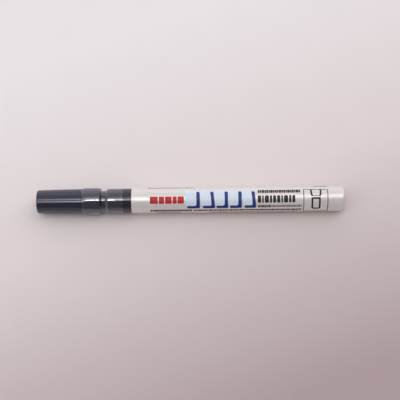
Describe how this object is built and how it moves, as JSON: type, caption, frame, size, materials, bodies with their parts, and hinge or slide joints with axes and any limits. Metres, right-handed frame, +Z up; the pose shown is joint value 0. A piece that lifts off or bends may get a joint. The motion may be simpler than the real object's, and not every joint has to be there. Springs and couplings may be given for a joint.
{
  "type": "felt tip marker",
  "caption": "Slim valve-action paint marker lying capped: fluted push-on cap, ringed neck, plain round barrel closed at the tail, sprung bullet nib.",
  "frame": {"origin": "middle of the length and width, at the surface the marker lies on", "axes": "+X along the marker's axis from the cap to the tail, +Z up"},
  "size_m": [0.141, 0.0124, 0.0123],
  "materials": {
    "dark_plastic": "satin moulded polypropylene, very dark navy",
    "natural_plastic": "natural milky polyethylene",
    "clear_film": "clear shrunk film, glossy, slightly wrinkled",
    "fibre": "bonded polyester fibre, stained with paint at the tip",
    "black_rubber": "matte moulded rubber",
    "spring_steel": "drawn stainless wire",
    "white_lacquer": "white gloss lacquer over drawn aluminium",
    "ball_steel": "polished steel ball",
    "print_black": "black printing ink on the lacquer",
    "print_grey": "fine grey printing on the lacquer",
    "print_red": "red printing ink on the lacquer",
    "print_blue": "blue printing ink on the lacquer",
    "print_white": "raised white printing ink on the lacquer"
  },
  "bodies": {
    "barrel": {"barrel_tube": "white_lacquer", "collar_body": "dark_plastic", "nib_holder": "dark_plastic", "seal_film_collar": "clear_film", "valve_seat": "natural_plastic", "spring_cage": "natural_plastic", "valve_spring": "spring_steel", "barrel_seal_ring": "black_rubber"},
    "cap": {"cap_shell": "dark_plastic", "cap_seal_liner": "natural_plastic", "seal_film_cap": "clear_film"},
    "nib": {"nib": "fibre", "valve_stem": "natural_plastic", "valve_gasket": "black_rubber"},
    "ball": {"agitator_ball": "ball_steel"}
  },
  "joints": [
    {"name": "cap_pull", "type": "slide", "parent": "barrel", "child": "cap", "axis": [-1, 0, 0], "range_m": [0, 0.035]},
    {"name": "nib_push", "type": "slide", "parent": "barrel", "child": "nib", "axis": [1, 0, 0], "range_m": [0, 0.0015], "stiffness_N_per_m": 1000, "springref_m": -0.001, "deforming": ["valve_spring"]},
    {"name": "ball_travel", "type": "slide", "parent": "barrel", "child": "ball", "axis": [1, 0, 0], "range_m": [-0.0465, 0.037]}
  ]
}
